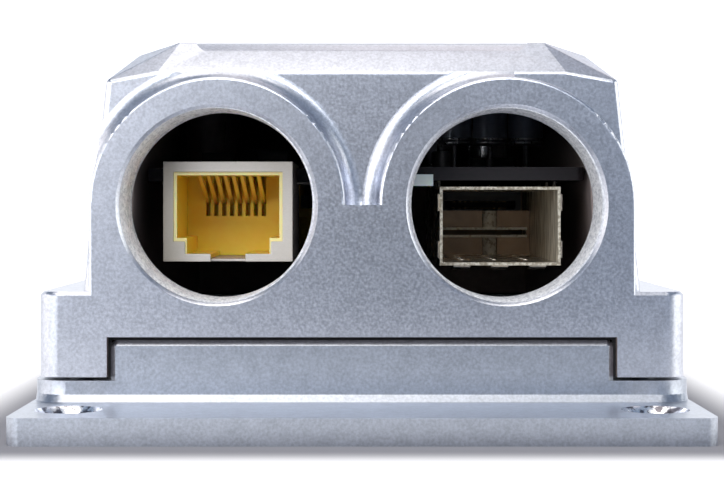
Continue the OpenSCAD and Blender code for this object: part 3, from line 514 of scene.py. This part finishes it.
rubber = Finish("seal_rubber", roughness=0.7)
rubber_dust = rubber.noise(0.6 * MM)
rubber.set(**{"Base Color": rubber.mix(rubber_dust, (0.012, 0.012, 0.014), (0.03, 0.03, 0.032))})
rubber.bump(rubber_dust, 0.02 * MM, 0.3)
rubber.give(frame["nodes"]["gasket"])

zinc = Finish("screw_zinc", metallic=1.0)
zinc_turning = zinc.noise(0.25 * MM, detail=3.0)
zinc.set(**{"Base Color": zinc.mix(zinc_turning, (0.48, 0.49, 0.52), (0.66, 0.66, 0.68))})
zinc.set(Roughness=0.24 + zinc_turning * 0.2)
zinc.give(frame["nodes"]["cover_screws"], frame["nodes"]["board_screws"])


# ---------------------------------------------------------------- board
# The circuit board, of glass laminate under a dark solder mask. It is held up to posts under the roof by four
# screws.

laminate = Finish("board_laminate", roughness=0.5, specular_ior_level=0.3)
weave = laminate.noise(0.5 * MM, stretch=(1, 6, 1))
laminate.set(**{"Base Color": laminate.mix(weave, (0.006, 0.005, 0.006), (0.014, 0.010, 0.012))})
laminate.give(frame["nodes"]["board"])


# ---------------------------------------------------------------- copper socket
# A folded shell of tinned sheet round an amber moulding, with eight gold plated wires that spring down into
# the plug bay. The shell's left part is darker as painted shade, where the bore's wall shades it, and the
# moulding's front rim is paler than its inside as painted light.

shield = rounded_copy("socket_shield", "socket_shell", 0.08 * MM, segments=2)
tin = Finish("shield_tin", metallic=0.45)
tin_rolled = tin.noise(0.3 * MM, detail=2.0, stretch=(1, 1, 8))
shell_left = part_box("socket_shield")[0].x
tin_x = tin.node("ShaderNodeSeparateXYZ", {}, {"Vector": tin.place}, "X")
# Painted shade: the shell is darker towards its left, where the bore's wall shades it.
painted_light_across = tin_x.above(shell_left + 3.5 * MM, 7 * MM)
tin_painted_shade = tin.mix(tin_rolled, (0.27, 0.24, 0.19), (0.36, 0.32, 0.26))
tin_lit = tin.mix(tin_rolled, (0.54, 0.50, 0.45), (0.70, 0.66, 0.60))
tin.set(**{"Base Color": tin.mix(painted_light_across, tin_painted_shade, tin_lit)})
tin.set(Roughness=0.42 + tin_rolled * 0.18)
tin.give(shield)

insert = rounded_copy("socket_insert", "amber_insert", 0.06 * MM, segments=2)
amber = Finish("amber_plastic", roughness=0.32, subsurface_weight=0.5, subsurface_scale=1.2 * MM)
amber_flow = amber.noise(1.2 * MM, detail=2.0)
amber.set(**{"Base Color": amber.mix(amber_flow, (0.95, 0.63, 0.05), (1.0, 0.74, 0.08))})
amber.give(insert)

# Painted light: the moulding's front faces are a paler copy of its amber, as if lit.
amber_lit_rim = Finish("amber_lit_rim", roughness=0.4, subsurface_weight=0.3, subsurface_scale=1.2 * MM)
rim_flow = amber_lit_rim.noise(0.8 * MM, detail=2.0)
amber_lit_rim.set(**{"Base Color": amber_lit_rim.mix(rim_flow, (1.0, 0.80, 0.30), (1.0, 0.87, 0.46))})
insert_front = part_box("socket_insert")[0].y
refinish(insert, amber_lit_rim, lambda middle, normal: normal.y < -0.3 and middle.y < insert_front + 0.1 * MM)

gold = Finish("contact_gold", metallic=1.0)
gold_wear = gold.noise(0.3 * MM)
gold.set(**{"Base Color": gold.mix(gold_wear, (0.86, 0.66, 0.30), (0.98, 0.84, 0.52))})
gold.set(Roughness=0.3 + gold_wear * 0.15)
gold.give(frame["nodes"]["socket_contacts"])


# ---------------------------------------------------------------- fibre cage
# The cage folded from nickel silver sheet, with spring fingers round its mouth and a stop wall at the end of
# the bay, and behind it the black card connector. The stop wall is dark brown as painted shade, the right
# inner wall pale as painted light, and the lips and ribs just before the wall pale as a painted highlight.

cage = rounded_copy("fibre_cage", "nickel_cage", 0.05 * MM, segments=2)
nickel = Finish("cage_nickel", metallic=1.0)
nickel_film = nickel.noise(2.5 * MM, detail=3.0)
nickel.set(**{"Base Color": nickel.mix(nickel_film, (0.64, 0.57, 0.47), (0.80, 0.74, 0.64))})
nickel.set(Roughness=0.20 + nickel_film * 0.14)
nickel.give(cage, frame["nodes"]["cage_fingers"])

sheared = Finish("sheared_edge", metallic=0.3, roughness=0.4)
sheared_marks = sheared.noise(0.4 * MM, detail=3.0)
sheared.set(**{"Base Color": sheared.mix(sheared_marks.above(0.5, 0.3),
                                         (0.34, 0.29, 0.21), (0.74, 0.69, 0.57))})
cage_low, cage_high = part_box("fibre_cage")
refinish(cage, sheared, lambda middle, normal: normal.y < -0.3 and middle.y < cage_low.y + 0.5 * MM)

# Painted shade: the stop wall at the end of the bay is dark brown.
shaded_stop_wall = Finish("stop_wall_painted_shade", metallic=0.9)
wall_shade_mottle = shaded_stop_wall.noise(2.0 * MM, detail=3.0)
shaded_stop_wall.set(**{"Base Color": shaded_stop_wall.mix(wall_shade_mottle, (0.16, 0.11, 0.07), (0.26, 0.18, 0.12))})
shaded_stop_wall.set(Roughness=0.25 + wall_shade_mottle * 0.15)
bay = [opening for opening in frame["record"]["physics"]["openings"] if opening["name"] == "fibre_bay"][0]
bay_end = bay["box_m"][1][1]
wall_front = bay_end + 1.1 * MM
refinish(cage, shaded_stop_wall, lambda middle, normal: normal.y < -0.9 and middle.y > wall_front)

# Painted light: the right inner wall is pale and streaked, as if lit from the left.
lit_right_wall = Finish("right_wall_painted_light", metallic=0.45)
right_wall_light_streaks = lit_right_wall.noise(0.9 * MM, detail=3.0, stretch=(1, 1, 0.25))
lit_right_wall.set(**{"Base Color": lit_right_wall.mix(right_wall_light_streaks.above(0.5, 0.35), (0.50, 0.42, 0.30), (0.98, 0.90, 0.74))})
lit_right_wall.set(Roughness=0.35 + right_wall_light_streaks * 0.2)
refinish(cage, lit_right_wall, lambda middle, normal: normal.x < -0.9 and middle.x > (cage_low.x + cage_high.x) / 2)
# Painted highlight: the lips and ribs just before the stop wall are pale.
lit_lips = Finish("lips_painted_highlight", metallic=0.1, roughness=0.5)
lip_highlight_patches = lit_lips.noise(0.6 * MM, detail=3.0)
lit_lips.set(**{"Base Color": lit_lips.mix(lip_highlight_patches.above(0.42, 0.2), (0.62, 0.54, 0.42), (1.0, 0.95, 0.84))})
refinish(cage, lit_lips, lambda middle, normal: (
    normal.y < -0.05 and wall_front - 1 * MM < middle.y < wall_front))

dull_gold = Finish("dull_gold", metallic=1.0)
dull_wear = dull_gold.noise(0.3 * MM)
dull_gold.set(**{"Base Color": dull_gold.mix(dull_wear, (0.16, 0.12, 0.06), (0.26, 0.20, 0.11))})
dull_gold.set(Roughness=0.5 + dull_wear * 0.15)
dull_gold.give(frame["nodes"]["card_contacts"])

moulding = Finish("black_moulding", roughness=0.55)
moulding_grain = moulding.noise(0.2 * MM)
moulding.set(**{"Base Color": moulding.mix(moulding_grain, (0.010, 0.010, 0.011), (0.024, 0.024, 0.026))})
moulding.bump(moulding_grain, 0.01 * MM, 0.4)
moulding.give(*[frame["nodes"][name] for name in
                ("card_connector", "isolation_block", "converter_chip", "rectifiers", "regulator")])


# ---------------------------------------------------------------- parts on the board
# What stands on the board: tinned leads, the grey heat pad, ferrite cores, the taped coil, bright cans,
# ceramic chips and the pale lamp.

leads = Finish("tinned_leads", metallic=1.0)
leads_dull = leads.noise(0.2 * MM)
leads.set(**{"Base Color": leads.mix(leads_dull, (0.55, 0.55, 0.56), (0.75, 0.75, 0.75))})
leads.set(Roughness=0.28 + leads_dull * 0.2)
leads.give(frame["nodes"]["isolation_pins"], frame["nodes"]["chip_pins"])

heat_pad = Finish("heat_pad", roughness=0.8)
heat_filler = heat_pad.noise(0.4 * MM)
heat_pad.set(**{"Base Color": heat_pad.mix(heat_filler, (0.30, 0.34, 0.40), (0.42, 0.46, 0.52))})
heat_pad.bump(heat_filler, 0.02 * MM, 0.4)
heat_pad.give(frame["nodes"]["thermal_pad"])

ferrite = Finish("ferrite", roughness=0.5, metallic=0.2)
ferrite_grain = ferrite.noise(0.3 * MM, detail=3.0)
ferrite.set(**{"Base Color": ferrite.mix(ferrite_grain, (0.035, 0.035, 0.038), (0.085, 0.085, 0.09))})
ferrite.bump(ferrite_grain, 0.02 * MM, 0.4)
ferrite.give(frame["nodes"]["transformer_core"], frame["nodes"]["power_inductor"])

tape = Finish("coil_tape", roughness=0.3)
tape_lap = tape.noise(0.9 * MM, stretch=(1, 1, 4))
tape.set(**{"Base Color": tape.mix(tape_lap, (0.60, 0.42, 0.05), (0.78, 0.60, 0.12))})
tape.give(frame["nodes"]["transformer_coil"])

can = Finish("drawn_can", metallic=1.0)
can_drawn = can.noise(0.4 * MM, stretch=(1, 1, 0.1))
can.set(**{"Base Color": can.mix(can_drawn, (0.66, 0.67, 0.70), (0.82, 0.83, 0.85))})
can.set(Roughness=0.22 + can_drawn * 0.14)
can.give(frame["nodes"]["can_capacitors"])

crystal_can = Finish("crystal_can", metallic=1.0, roughness=0.5)
crystal_stain = crystal_can.noise(0.7 * MM)
crystal_can.set(**{"Base Color": crystal_can.mix(crystal_stain, (0.10, 0.10, 0.11), (0.18, 0.18, 0.19))})
crystal_can.give(frame["nodes"]["crystal"])

sleeve = Finish("capacitor_sleeve", roughness=0.35, metallic=0.3)
sleeve_fold = sleeve.noise(0.8 * MM, stretch=(1, 1, 0.3))
sleeve.set(**{"Base Color": sleeve.mix(sleeve_fold, (0.34, 0.38, 0.46), (0.52, 0.56, 0.64))})
tall = rounded_copy("filter_capacitors", "sleeved_capacitors", 0.15 * MM)
sleeve.give(tall)
rims = [face.center.z for face in tall.data.polygons if face.normal.z < -0.9 and face.area > 2 * MM * MM]
refinish(tall, can, lambda middle, normal: middle.z < min(rims) + 1.0 * MM)

ceramic = Finish("ceramic", roughness=0.45)
ceramic_tone = ceramic.noise(1.5 * MM)
ceramic.set(**{"Base Color": ceramic.mix(ceramic_tone, (0.30, 0.22, 0.13), (0.52, 0.42, 0.30))})
ceramic.give(frame["nodes"]["chip_parts"])

resin = Finish("lamp_resin", roughness=0.3, subsurface_weight=0.4, subsurface_scale=0.8 * MM)
resin_haze = resin.noise(0.4 * MM)
resin.set(**{"Base Color": resin.mix(resin_haze, (0.86, 0.93, 0.84), (0.95, 0.98, 0.93))})
resin.give(frame["nodes"]["status_lamp"])
